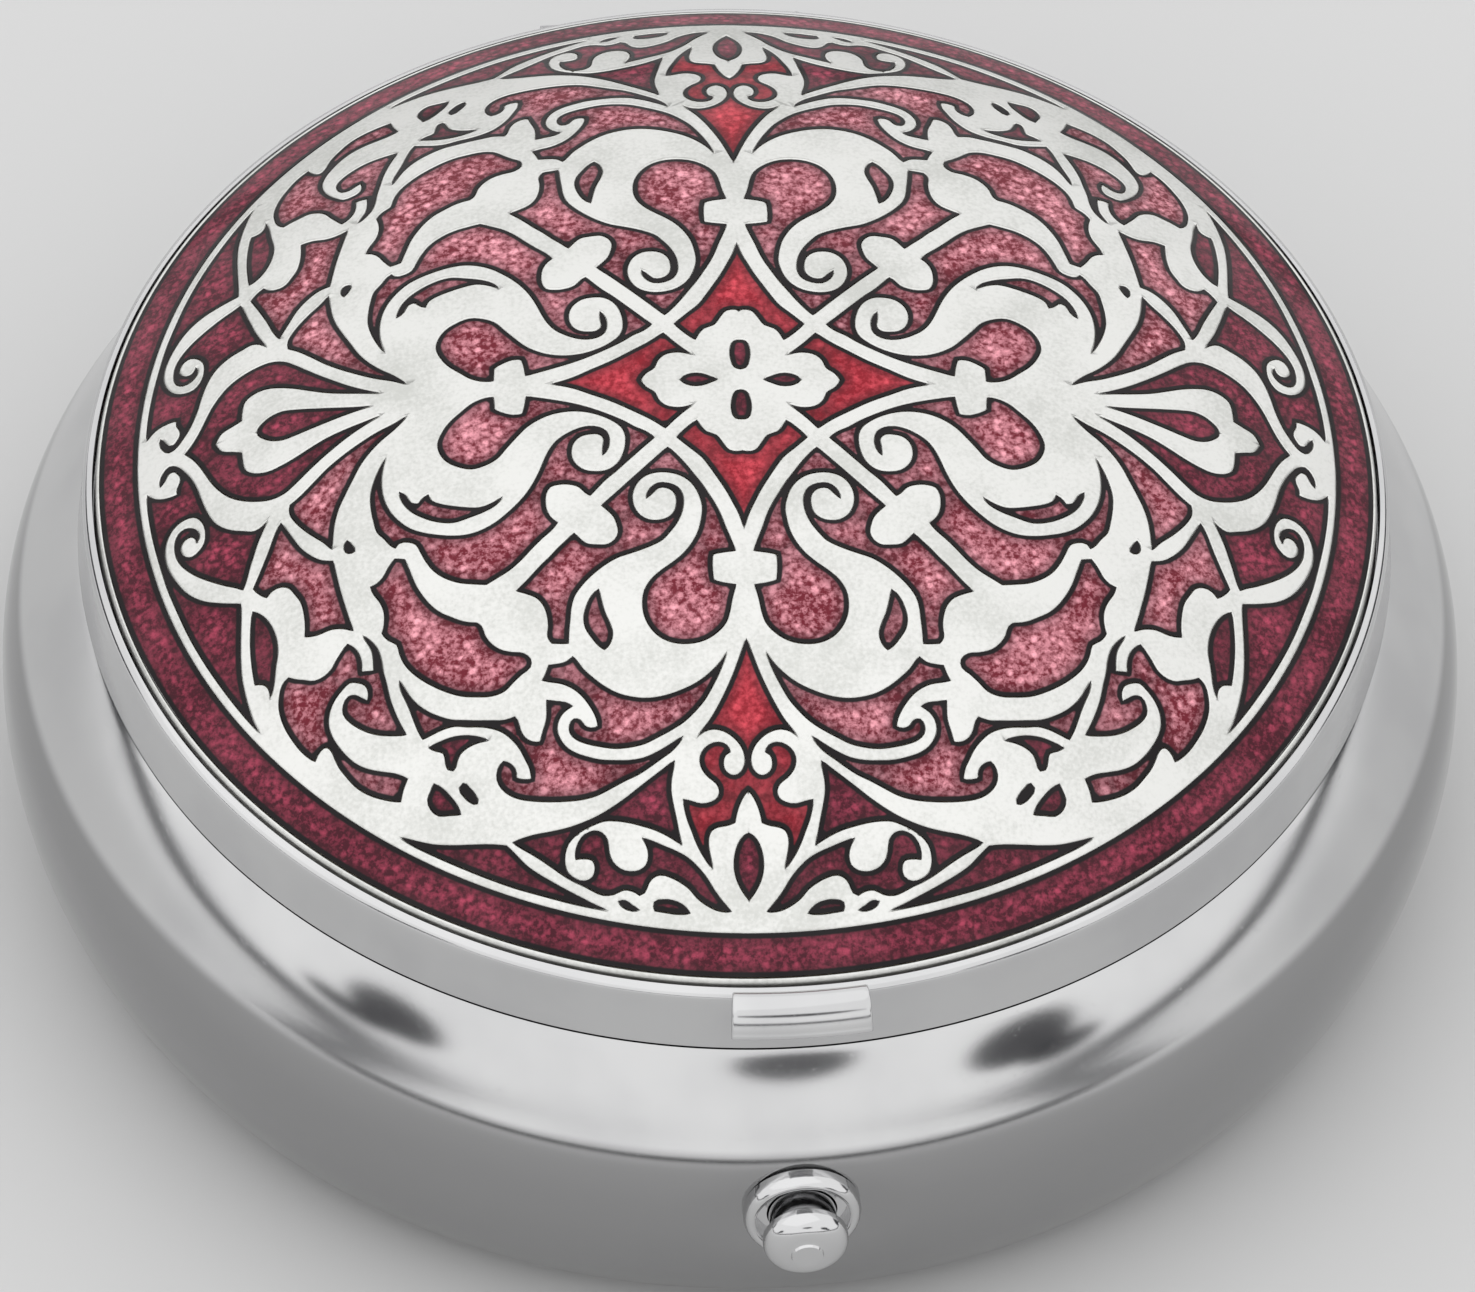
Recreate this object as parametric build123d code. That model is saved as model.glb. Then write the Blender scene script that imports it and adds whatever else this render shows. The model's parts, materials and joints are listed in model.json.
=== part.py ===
from build123d import *
import os

os.makedirs("parts", exist_ok=True)

# A round pill box with a domed enamel lid, a rear hinge and a front push button. All sizes are in mm.
# Z is up from the flat the box stands on, its axis is the origin, and the button's side is -Y.

# Base
belly_radius = 25.0
belly_z = 6.95
foot_radius = 19.4
mouth_radius = 22.45
parting_z = 13.15
wall = 0.5
parting_gap = 0.05

# Lid and medallion
enamel_radius = 21.48
enamel_edge_z = 16.2
ring_radius = 21.57
dome_rise = 5.52
dome_power = 2.5
medallion_radius = 21.85
enamel_depth = 0.35
plate_thickness = 0.7
glue_thickness = 0.14
bezel_inner_radius = 22.0
bezel_radius = 22.24
bezel_z = 15.87
lid_inner_radius = 21.95

# Collar in the base's mouth
collar_radius = 21.92
collar_thickness = 0.45
collar_top_z = 13.45
collar_foot_z = 10.6

# Hinge, along X at the rear
hinge_y = 23.0
hinge_z = 13.15
barrel_radius = 0.85
pin_radius = 0.4
running_clearance = 0.05
knuckle_gap = 0.1
lid_knuckle_half = 1.5
barrel_half = 4.5

# Button, along Y at the front
button_z = 7.57
button_travel = 0.9
head_radius = 1.45
head_front_y = -26.95
head_back_y = -25.95
neck_radius = 1.15
neck_end_y = -22.6
stem_radius = 0.7
catch_y = -19.6
catch_thickness = 0.4
guide_radius = 0.45
guide_end_y = -16.7
seat_y = -16.9
eyelet_radius = 2.0
eyelet_front_y = -25.4
dimple_y = -24.75
eyelet_end_y = -23.3

# Tray
tray_radius = 20.9
tray_foot_radius = 18.6
tray_foot_z = 0.55
tray_top_z = 12.2
tray_wall = 0.8
notch_half = 3.4
notch_y = guide_end_y + button_travel + 0.5

# Mirror in the lid
mirror_radius = 19.25
mirror_thickness = 0.9
mirror_z = 13.77

button_axis = Axis((0, 0, button_z), (0, 1, 0))


def save(shape, node):
    """Write one sub-part as parts/node.step."""
    export_step(shape, "parts/" + node + ".step")


def spun(edges, axis=Axis.Z, angle=360):
    """The solid that a closed outline sweeps about an axis."""
    return revolve(make_face(edges), axis, angle)


def ring(inner, outer, low, high):
    """A plain tube on the Z axis."""
    tall = high - low
    tube = Cylinder(outer, tall, align=(Align.CENTER, Align.CENTER, Align.MIN))
    bore = Cylinder(inner, tall, align=(Align.CENTER, Align.CENTER, Align.MIN))
    return Pos(0, 0, low) * (tube - bore)


def block(x, y, z):
    """A box between low and high values along each axis."""
    size = [high - low for low, high in (x, y, z)]
    middle = [(high + low) / 2 for low, high in (x, y, z)]
    return Pos(*middle) * Box(*size)


def rod(radius, start_y, end_y):
    """A cylinder on the button's axis."""
    outline = Polyline(
        (0, start_y, button_z), (radius, start_y, button_z),
        (radius, end_y, button_z), (0, end_y, button_z), close=True,
    )
    return spun(outline, button_axis)


def cross_rod(radius, low_x, high_x):
    """A cylinder on the hinge's axis."""
    place = Plane(origin=(low_x, hinge_y, hinge_z), z_dir=(1, 0, 0))
    return place * Cylinder(radius, high_x - low_x, align=(Align.CENTER, Align.CENTER, Align.MIN))


def dome_z(radius):
    """Height of the medallion's top surface."""
    return enamel_edge_z + dome_rise * (1 - (radius / ring_radius) ** dome_power)


def dome_slope(radius):
    return -dome_rise * dome_power * (radius / ring_radius) ** (dome_power - 1) / ring_radius


def dome_edge(drop, reach):
    """The medallion's curve lowered by drop, from the axis out to reach."""
    shares = (0, 0.2, 0.4, 0.6, 0.8, 0.9, 1)
    points = [(reach * s, 0, dome_z(reach * s) - drop) for s in shares]
    return Spline(*points, tangents=[(1, 0, 0), (1, 0, dome_slope(reach))])


def domed_disc(top_drop, foot_drop, reach):
    """A dished disc between two copies of the medallion's curve."""
    top = dome_edge(top_drop, reach)
    foot = dome_edge(foot_drop, reach)
    return spun(top + foot + Line(top @ 0, foot @ 0) + Line(top @ 1, foot @ 1))


# Base body


def bowl_edge():
    """The bowl's outer curve, from the edge of its foot to its mouth."""
    return Spline(
        (foot_radius, 0, 0), (22.3, 0, 0.62), (23.83, 0, 2.31), (24.72, 0, 4.47),
        (belly_radius, 0, belly_z), (24.68, 0, 9.19), (23.9, 0, 11.2), (mouth_radius, 0, parting_z),
        tangents=[(1, 0, 0), (-1, 0, 1)],
    )


def bowl_lining():
    """The same curve one wall thickness further in."""
    outer = bowl_edge()
    points = []
    for share in (0, 0.12, 0.25, 0.4, 0.55, 0.7, 0.82, 0.92, 1):
        place = outer.position_at(share)
        along = outer.tangent_at(share)
        points.append((place.X - along.Z * wall, 0, place.Z + along.X * wall))
    return Spline(*points, tangents=[(1, 0, 0), (-1, 0, 1)])


def base_shell():
    outer = bowl_edge()
    inner = bowl_lining()
    shell = spun(
        Line((0, 0, 0), outer @ 0) + outer + Line(outer @ 1, inner @ 1) + inner
        + Line(inner @ 0, (0, 0, wall)) + Line((0, 0, wall), (0, 0, 0))
    )
    shell -= ring(0, collar_radius + 0.02, collar_foot_z, collar_top_z)
    shell -= ring(17.0, 17.8, -1, 0.12)
    above = block((-30, 30), (-30, 30), (parting_z, 20))
    hinge_notch = block((-barrel_half - 0.2, barrel_half + 0.2), (20, 26), (hinge_z - 1.0, 20))
    dimple_boss = rod(3.1, -24.62, -24.0)
    dimple = spun(
        Polyline(
            (0, -26, button_z), (3.6, -26, button_z), (2.15, dimple_y, button_z),
            (0, dimple_y, button_z), close=True,
        ),
        button_axis,
    )
    return shell + dimple_boss - above - hinge_notch - dimple - rod(1.42, -26, -23)


def inner_collar():
    step = 0.17
    collar = ring(collar_radius - collar_thickness, collar_radius, collar_foot_z, collar_top_z)
    collar -= ring(collar_radius - step, collar_radius + 1, parting_z - 0.05, collar_top_z + 1)
    return chamfer(collar.edges().group_by(Axis.Z)[-1], 0.1)


def tray_bowl(shrink, low, high):
    """The tray's tapered round body, made smaller by shrink."""
    outline = Polyline(
        (0, 0, low), (tray_foot_radius - 1.2 - shrink, 0, low), (tray_foot_radius - shrink, 0, low + 1.2),
        (tray_radius - shrink, 0, high), (0, 0, high), close=True,
    )
    return spun(outline)


def pill_tray():
    """Three wells about a hub, with a notch at the front that the catch stands in."""
    far = 30
    body = tray_bowl(0, tray_foot_z, tray_top_z)
    wells = tray_bowl(tray_wall, tray_foot_z + tray_wall, tray_top_z + 0.01)
    front = block((-notch_half - tray_wall, notch_half + tray_wall), (-far, notch_y + tray_wall), (0, far))
    wells -= front
    divider_top = tray_top_z - 0.7
    for turn in (-90, 30, 150):
        rib = block((0, far), (-tray_wall / 2, tray_wall / 2), (0, divider_top))
        wells -= Rot(0, 0, turn) * rib
    wells -= Cylinder(1.6, 2 * divider_top)
    notch = block((-notch_half, notch_half), (-far, notch_y), (0, far))
    body -= wells
    return body - notch


def button_eyelet():
    """Flared ferrule that clamps the catch bracket to the wall."""
    bore = neck_radius + running_clearance
    z = button_z
    front = Spline(
        (eyelet_radius, dimple_y, z), (eyelet_radius, dimple_y - 0.3, z), (1.78, eyelet_front_y, z),
        (1.6, eyelet_front_y + 0.08, z), tangents=[(0, -1, 0), (-0.6, 1, 0)],
    )
    rest = Polyline(
        front @ 1, (1.55, dimple_y - 0.2, z), (bore, dimple_y - 0.2, z), (bore, eyelet_end_y, z),
        (1.75, eyelet_end_y, z), (1.75, eyelet_end_y - 0.3, z), (1.38, eyelet_end_y - 0.3, z),
        (1.38, dimple_y, z), front @ 0,
    )
    return spun(front + rest, button_axis)


def catch_bracket():
    """U-shaped guide: its front leg is under the eyelet, its rear leg guides the stem."""
    half = 2.0
    front_y = (-23.98, -23.62)
    foot_z = (5.3, 5.7)
    front = block((-half, half), front_y, (foot_z[0], button_z + 2))
    rear = block((-half, half), (seat_y, seat_y + 0.4), (foot_z[0], button_z + 2))
    foot = block((-half, half), (front_y[0], seat_y + 0.4), foot_z)
    return front + rear + foot - rod(1.41, -25, -23) - rod(guide_radius + running_clearance, -18, -16)


def base_hinge_leaf():
    """Two outer knuckles on a leaf that is soldered to the collar's back."""
    inner = lid_knuckle_half + knuckle_gap
    leaf = block((-barrel_half, barrel_half), (21.97, 22.37), (9.2, 11.9))
    strip = block((-barrel_half, barrel_half), (21.97, 22.37), (11.9, hinge_z))
    knuckles = cross_rod(barrel_radius, -barrel_half, -inner) + cross_rod(barrel_radius, inner, barrel_half)
    relief = block((-inner, inner), (21, 25), (hinge_z - 1.0, 20))
    body = leaf + strip + knuckles - relief
    return body - cross_rod(pin_radius + 0.02, -10, 10)


def hinge_pin():
    """Pin with a peened head at each end."""
    reach = barrel_half + 0.03
    heads = cross_rod(0.6, -reach - 0.18, -reach) + cross_rod(0.6, reach, reach + 0.18)
    return cross_rod(pin_radius, -reach, reach) + heads


# Button body


def push_button():
    """Turned knob, neck, stem and guide pin in one piece."""
    z = button_z
    crown = Spline(
        (0.92, head_front_y, z), (1.3, head_front_y + 0.22, z), (head_radius, head_front_y + 0.55, z),
        tangents=[(1, 0.25, 0), (0, 1, 0)],
    )
    rest = Polyline(
        crown @ 1, (head_radius, head_back_y - 0.1, z), (head_radius - 0.1, head_back_y, z),
        (neck_radius, head_back_y, z), (neck_radius, neck_end_y, z), (stem_radius, neck_end_y, z),
        (stem_radius, catch_y, z), (guide_radius, catch_y, z), (guide_radius, guide_end_y, z),
        (0, guide_end_y, z), (0, head_front_y, z), crown @ 0,
    )
    groove = rod(neck_radius + 1, -23.29, -22.93) - rod(0.85, -24, -22)
    return spun(crown + rest, button_axis) - groove


def stem_clip():
    """Open retaining clip in the neck's groove: the button's outer stop."""
    clip = rod(1.65, -23.26, -22.96) - rod(0.87, -24, -22)
    mouth = block((-0.6, 0.6), (-24, -22), (0, button_z))
    return clip - mouth


def catch_plate():
    """Upright plate on the stem's shoulder, with a nose that holds the hook down."""
    half = 2.3
    back_y = catch_y + catch_thickness
    plate = block((-half, half), (catch_y, back_y), (5.7, 10.35))
    nose = extrude(
        make_face(
            Polyline(
                (-half, catch_y, 9.78), (-half, catch_y - 0.72, 9.78), (-half, catch_y - 0.72, 9.95),
                (-half, catch_y, 10.35), close=True,
            )
        ),
        2 * half, dir=(1, 0, 0),
    )
    return plate + nose - rod(guide_radius + 0.02, -21, -19)


def catch_spring():
    """Compression coil on the guide pin, between the catch plate and the bracket."""
    wire = 0.14
    coil_radius = 0.8
    start = catch_y + catch_thickness + wire + 0.02
    length = seat_y - wire - 0.02 - start
    path = Helix(pitch=length / 4, height=length, radius=coil_radius)
    section = Plane(path @ 0, z_dir=path % 0) * Circle(wire)
    coil = sweep(section, path, is_frenet=True)
    return Plane(origin=(0, start, button_z), z_dir=(0, 1, 0)) * coil


# Lid body


def lid_shell():
    """Stamped cup with a flared side wall, a thin bezel lip and a recess for the medallion."""
    foot_z = parting_z + parting_gap
    floor_drop = enamel_depth + plate_thickness + glue_thickness + 0.02
    recess = dome_edge(floor_drop, bezel_inner_radius)
    under = dome_edge(floor_drop + wall, 21.3)
    lip = Spline(
        (bezel_radius, 0, bezel_z - 0.3), (bezel_radius - 0.07, 0, bezel_z - 0.05),
        (bezel_inner_radius, 0, bezel_z), tangents=[(-0.05, 0, 1), (-1, 0, 0)],
    )
    rest = Polyline(recess @ 1, lip @ 1)
    side = Polyline(lip @ 0, (mouth_radius, 0, foot_z), (lid_inner_radius, 0, foot_z), (21.8, 0, 14.3), under @ 1)
    shell = spun(recess + rest + lip + side + under + Line(recess @ 0, under @ 0))
    half = barrel_half + 0.2
    return shell - block((-half, half), (20, 26), (13, hinge_z + 1.0))


def medallion_plate():
    """Domed disc with a raised rim round the enamel."""
    floor = dome_edge(enamel_depth, enamel_radius + 0.02)
    under = dome_edge(enamel_depth + plate_thickness, medallion_radius)
    rim_z = dome_z(medallion_radius)
    inner_z = dome_z(enamel_radius + 0.02)
    rim = Polyline(floor @ 1, (enamel_radius + 0.02, 0, inner_z), (medallion_radius, 0, rim_z), under @ 1)
    return spun(floor + rim + under + Line(floor @ 0, under @ 0))


def enamel_layer():
    return domed_disc(0, enamel_depth - 0.01, enamel_radius)


def adhesive_disc():
    top = enamel_depth + plate_thickness + 0.01
    return domed_disc(top, top + glue_thickness - 0.01, 21.3)


def thumb_tab():
    """Folded ledge brazed to the lid's rim over the button."""
    half_angle = 6.0
    outline = Polyline(
        (22.37, 0, 14.5), (22.27, 0, 15.6), (22.22, 0, 15.82), (22.8, 0, 15.9), (23.08, 0, 15.78),
        (23.2, 0, 15.5), (23.2, 0, 14.75), (23.0, 0, 14.5), close=True,
    )
    tab = spun(outline, Axis.Z, 2 * half_angle)
    return Rot(0, 0, -90 - half_angle) * tab


def lid_hook():
    """Strip that hangs from the lid's front, with a nose that snaps under the catch."""
    half = 1.8
    strip = block((-half, half), (-21.0, -20.5), (9.05, 14.8))
    flange = block((-half, half), (-21.6, -20.5), (13.85, 14.3))
    nose = extrude(
        make_face(
            Polyline(
                (-half, -20.5, 9.05), (-half, -20.3, 9.05), (-half, -19.87, 9.45), (-half, -19.87, 9.65),
                (-half, -20.5, 9.65), close=True,
            )
        ),
        2 * half, dir=(1, 0, 0),
    )
    return strip + flange + nose


def lid_hinge_leaf():
    """Middle knuckle, with a strip over the collar and a plate inside the lid's wall."""
    knuckle = cross_rod(barrel_radius, -lid_knuckle_half, lid_knuckle_half)
    strip = block((-lid_knuckle_half, lid_knuckle_half), (21.2, hinge_y), (hinge_z + 0.45, hinge_z + 0.85))
    plate = block((-3.3, 3.3), (21.2, 21.6), (hinge_z + 0.45, 14.3))
    return knuckle + strip + plate - cross_rod(pin_radius + running_clearance, -10, 10)


def lid_mirror():
    disc = Pos(0, 0, mirror_z) * Cylinder(
        mirror_radius, mirror_thickness, align=(Align.CENTER, Align.CENTER, Align.MIN)
    )
    return chamfer(disc.edges().group_by(Axis.Z)[0], 0.25)


def mirror_ring():
    """Trim ring with a lip under the mirror's edge."""
    return spun(
        Polyline(
            (18.75, 0, 13.5), (20.15, 0, 13.5), (20.3, 0, 13.65), (20.3, 0, 15.2), (19.3, 0, 15.2),
            (19.3, 0, mirror_z - 0.02), (18.75, 0, mirror_z - 0.02), (18.65, 0, 13.62), close=True,
        )
    )


makers = (
    base_shell, inner_collar, pill_tray, button_eyelet, catch_bracket, base_hinge_leaf, hinge_pin,
    push_button, stem_clip, catch_plate, catch_spring,
    lid_shell, medallion_plate, enamel_layer, adhesive_disc, thumb_tab, lid_hook, lid_hinge_leaf,
    lid_mirror, mirror_ring,
)
for maker in makers:
    save(maker(), maker.__name__)
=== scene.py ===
import json
import math
import bmesh
import bpy
import numpy as np
from mathutils import Matrix, Vector
from mathutils.geometry import delaunay_2d_cdt

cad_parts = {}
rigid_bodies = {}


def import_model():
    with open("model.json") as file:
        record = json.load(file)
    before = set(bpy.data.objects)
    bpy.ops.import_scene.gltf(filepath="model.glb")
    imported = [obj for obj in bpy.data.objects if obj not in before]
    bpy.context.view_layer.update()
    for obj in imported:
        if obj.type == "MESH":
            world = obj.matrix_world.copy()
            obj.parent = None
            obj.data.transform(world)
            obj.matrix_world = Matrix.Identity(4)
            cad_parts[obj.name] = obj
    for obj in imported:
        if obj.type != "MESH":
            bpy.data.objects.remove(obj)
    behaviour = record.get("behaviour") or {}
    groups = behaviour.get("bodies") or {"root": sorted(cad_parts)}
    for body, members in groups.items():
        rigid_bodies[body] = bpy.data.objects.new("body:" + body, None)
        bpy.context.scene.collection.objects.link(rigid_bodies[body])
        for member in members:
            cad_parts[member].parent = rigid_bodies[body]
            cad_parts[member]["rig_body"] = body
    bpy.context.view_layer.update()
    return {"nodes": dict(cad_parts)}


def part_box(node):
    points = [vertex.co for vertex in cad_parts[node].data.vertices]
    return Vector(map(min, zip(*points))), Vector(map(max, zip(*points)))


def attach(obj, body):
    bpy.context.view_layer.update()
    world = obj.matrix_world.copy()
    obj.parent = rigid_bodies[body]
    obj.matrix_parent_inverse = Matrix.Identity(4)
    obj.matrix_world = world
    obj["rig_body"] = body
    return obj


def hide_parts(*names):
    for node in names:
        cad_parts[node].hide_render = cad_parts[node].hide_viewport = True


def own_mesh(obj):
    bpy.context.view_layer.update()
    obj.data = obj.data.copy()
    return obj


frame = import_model()
print("frame loaded:", len(frame["nodes"]), "nodes")


# shader helpers

class Wire:  # a socket that takes plain arithmetic
    def __init__(self, tree, socket=None):
        self.tree, self.socket = tree, socket

    def node(self, kind, settings=None, sockets=None, out=0):
        made = self.tree.nodes.new("ShaderNode" + kind)
        for name, value in (settings or {}).items():
            setattr(made, name, value)
        for name, value in (sockets or {}).items():
            if isinstance(value, Wire):
                self.tree.links.new(value.socket, made.inputs[name])
            else:
                made.inputs[name].default_value = value
        return Wire(self.tree, made.outputs[out])

    def math(self, operation, first, second):
        return self.node("Math", {"operation": operation}, {0: first, 1: second})

    def __add__(self, other):
        return self.math("ADD", self, other)

    def __sub__(self, other):
        return self.math("SUBTRACT", self, other)

    def __rsub__(self, other):
        return self.math("SUBTRACT", other, self)

    def __mul__(self, other):
        return self.math("MULTIPLY", self, other)

    __radd__ = __add__
    __rmul__ = __mul__

    def above(self, low, high):  # 0 under low, 1 over high, smooth between
        settings = {"interpolation_type": "SMOOTHSTEP", "clamp": True}
        return self.node("MapRange", settings, {"Value": self, "From Min": low, "From Max": high})

    def blend(self, colourA, colourB):  # self is the share of colourB
        settings = {"data_type": "RGBA", "clamp_factor": True}
        return self.node("Mix", settings, {0: self, 6: colourA, 7: colourB}, 2)

    def stretch(self, x, y, z):
        return self.node("VectorMath", {"operation": "MULTIPLY"}, {0: self, 1: (x, y, z)})


def newMaterial(name):
    material = bpy.data.materials.new(name)
    material.use_nodes = True
    tree = material.node_tree
    tree.nodes.clear()
    return material, Wire(tree)


def place(wire):  # object coordinates
    return wire.node("TexCoord", out=3)


def grain(wire, where, scale, detail=2.0, roughness=0.5):
    sockets = {"Vector": where, "Scale": scale, "Detail": detail, "Roughness": roughness}
    return wire.node("TexNoise", {}, sockets)


def cellGrain(wire, where, scale, out=0):
    return wire.node("TexVoronoi", {}, {"Vector": where, "Scale": scale}, out)


def surface(wire, sockets):
    shader = wire.node("BsdfPrincipled", {}, sockets)
    output = wire.tree.nodes.new("ShaderNodeOutputMaterial")
    wire.tree.links.new(shader.socket, output.inputs["Surface"])


def bump(wire, height, strength, distance):
    sockets = {"Height": height, "Strength": strength, "Distance": distance}
    return wire.node("Bump", {}, sockets)


def attribute(wire, name):
    return wire.node("Attribute", {"attribute_name": name}, {}, 2)


def chromePlate(name, shadeBelow=1.0):  # painted shade: how bright the base colour is under the box's widest line, darker there to stand in for the dark floor that the belly reflects
    look = {"bright": (0.6, 0.6, 0.603, 1), "dull": (0.53, 0.53, 0.537, 1), "roughness": 0.09,
            "dim": (0.6 * shadeBelow, 0.6 * shadeBelow, 0.605 * shadeBelow, 1), "shadeHeights": (0.0101, 0.0096)}
    material, wire = newMaterial(name)
    where = place(wire)
    cloud = grain(wire, where, 160.0, 3.0)
    fine = grain(wire, where, 5200.0, 2.0)
    scuffs = grain(wire, where.stretch(9000, 900, 9000), 1.0, 3.0).above(0.62, 0.74)
    height = wire.node("SeparateXYZ", {}, {0: where}, 2)
    # painted shade mask: full just under the widest line, easing to 0.8 towards the foot
    low = height.above(*look["shadeHeights"]) * (0.8 + 0.2 * height.above(0.002, 0.009))
    surface(wire, {
        "Base Color": low.blend(cloud.above(0.35, 0.7).blend(look["bright"], look["dull"]), look["dim"]),
        "Metallic": 1.0,
        "Roughness": look["roughness"] + 0.05 * cloud + 0.05 * scuffs,
        "Normal": bump(wire, fine, 0.03, 0.00001),
    })
    return material


def satinSteel():
    look = {"bright": (0.55, 0.55, 0.565, 1), "dull": (0.42, 0.42, 0.43, 1), "roughness": 0.26}
    material, wire = newMaterial("satinSteel")
    where = place(wire)
    lines = grain(wire, where.stretch(700, 700, 14000), 1.0, 3.0)
    cloud = grain(wire, where, 240.0, 3.0)
    surface(wire, {
        "Base Color": lines.above(0.3, 0.7).blend(look["bright"], look["dull"]),
        "Metallic": 1.0,
        "Roughness": look["roughness"] + 0.12 * cloud,
        "Normal": bump(wire, lines, 0.12, 0.00002),
    })
    return material


def silverPlate():
    look = {"bright": (0.72, 0.72, 0.7, 1), "dull": (0.57, 0.575, 0.55, 1), "roughness": 0.34}
    material, wire = newMaterial("silverPlate")
    where = place(wire)
    cloud = grain(wire, where, 330.0, 4.0)
    fine = grain(wire, where, 7000.0, 3.0)
    surface(wire, {
        "Base Color": (0.6 * cloud + 0.4 * fine).above(0.4, 0.68).blend(look["bright"], look["dull"]),
        "Metallic": 1.0,
        "Roughness": look["roughness"] + 0.12 * fine,
        "Normal": bump(wire, fine, 0.12, 0.00002),
    })
    return material


def redEnamel():
    look = {
        "wine": (0.06, 0.003, 0.012, 1), "wineLight": (0.42, 0.05, 0.1, 1),
        "rose": (0.15, 0.008, 0.02, 1), "roseLight": (0.95, 0.4, 0.47, 1),
        "ruby": (0.26, 0.005, 0.016, 1), "rubyLight": (0.7, 0.07, 0.1, 1),
        # painted shade: a near-black colour for the thin band along the silver walls and a dark colour for
        # the wider band inside it, the walls' shade and the enamel's meniscus painted into the cells
        "line": (0.004, 0.002, 0.003, 1), "shade": (0.03, 0.004, 0.008, 1),
        "grainScale": 3000.0, "wallShadowWidth": (0.115, 0.18), "shadeWidth": (0.15, 0.6),
    }
    material, wire = newMaterial("redEnamel")
    where = place(wire)
    tone = attribute(wire, "tone")
    edge = attribute(wire, "edge")
    frit = cellGrain(wire, where, look["grainScale"])
    chips = cellGrain(wire, where, look["grainScale"], out=1)
    lit = chips.node("SeparateColor", {}, {0: chips})
    dust = grain(wire, where, 5200.0, 3.0, 0.7).above(0.36, 0.66)
    cloud = grain(wire, where, 420.0, 2.0).above(0.3, 0.7)
    fleck = 0.55 * dust + frit.above(0.62, 0.12) * (0.15 + 0.55 * lit) + 0.25 * cloud - 0.2
    ruby = fleck.blend(look["ruby"], look["rubyLight"])
    rose = fleck.blend(look["rose"], look["roseLight"])
    wine = fleck.blend(look["wine"], look["wineLight"])
    body = tone.above(1.4, 1.6).blend(tone.above(0.4, 0.6).blend(wine, rose), ruby)
    # painted shade by distance in mm from the silver walls: half way to the dark colour at the wall, full
    # colour beyond 0.6 mm, near-black within about 0.12 to 0.18 mm
    shaded = (edge.above(*look["shadeWidth"]) * 0.5 + 0.5).blend(look["shade"], body)
    wallShadowed = edge.above(*look["wallShadowWidth"]).blend(look["line"], shaded)
    surface(wire, {
        "Base Color": wallShadowed,
        "Metallic": 0.0,
        "Roughness": 0.3 + 0.15 * frit,
        "Specular IOR Level": 0.12,
        "Coat Weight": 0.16 + 0.12 * cloud,
        "Coat Roughness": 0.08,
        "Normal": bump(wire, frit, 0.25, 0.00003),
    })
    return material


def plainPlastic(name, light, dark, roughness):
    material, wire = newMaterial(name)
    where = place(wire)
    cloud = grain(wire, where, 150.0, 3.0)
    fine = grain(wire, where, 6000.0, 2.0)
    surface(wire, {
        "Base Color": cloud.above(0.3, 0.7).blend(light, dark),
        "Roughness": roughness + 0.12 * fine,
        "Normal": bump(wire, fine, 0.15, 0.00002),
    })
    return material


def mirrorGlass():
    material, wire = newMaterial("mirrorGlass")
    smudge = grain(wire, place(wire), 180.0, 4.0)
    surface(wire, {
        "Base Color": smudge.above(0.3, 0.8).blend((0.9, 0.92, 0.92, 1), (0.84, 0.87, 0.87, 1)),
        "Metallic": 1.0,
        "Roughness": 0.02 + 0.05 * smudge.above(0.5, 0.8),
    })
    return material


materials = {
    "bright_plate": chromePlate("chromePlate"),
    "satin_steel": satinSteel(),
    "silver_plate": silverPlate(),
    "red_enamel": redEnamel(),
    "adhesive": plainPlastic("driedAdhesive", (0.75, 0.68, 0.5, 1), (0.62, 0.54, 0.38, 1), 0.4),
    "tray_plastic": plainPlastic("trayPlastic", (0.86, 0.85, 0.82, 1), (0.8, 0.79, 0.755, 1), 0.32),
    "mirror_glass": mirrorGlass(),
}
print("materials made:", len(materials))


# every CAD node gets its finish, and a smooth-shaded copy stands for each that isn't remade

finishes = {
    "bright_plate": ["base_shell", "button_eyelet", "push_button", "lid_shell", "thumb_tab"],
    "satin_steel": ["inner_collar", "catch_bracket", "base_hinge_leaf", "hinge_pin", "stem_clip",
                    "catch_plate", "catch_spring", "lid_hook", "lid_hinge_leaf", "mirror_ring"],
    "silver_plate": ["medallion_plate"],
    "red_enamel": ["enamel_layer"],
    "adhesive": ["adhesive_disc"],
    "tray_plastic": ["pill_tray"],
    "mirror_glass": ["lid_mirror"],
}


crease = math.radians(32)  # edges that turn more than this stay sharp
weld = 0.000002


def camelName(node):
    first, *rest = node.split("_")
    return first + "".join(word.title() for word in rest) + "Skin"


def keepMesh(name, mesh, body, slotName):
    piece = bpy.data.objects.new(name, mesh)
    bpy.context.scene.collection.objects.link(piece)
    mesh.materials.clear()
    mesh.materials.append(materials[slotName])
    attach(piece, body)
    return piece


def smoothCopy(node, slotName):
    source = frame["nodes"][node]
    mesh = source.data.copy()
    shaped = bmesh.new()
    shaped.from_mesh(mesh)
    bmesh.ops.remove_doubles(shaped, verts=shaped.verts[:], dist=weld)
    for face in shaped.faces:
        face.smooth = True
    shaped.to_mesh(mesh)
    shaped.free()
    if mesh.has_custom_normals:
        mesh.attributes.remove(mesh.attributes["custom_normal"])
    mesh.set_sharp_from_angle(angle=crease)
    piece = keepMesh(camelName(node), mesh, source["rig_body"], slotName)
    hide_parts(node)
    return piece


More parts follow.
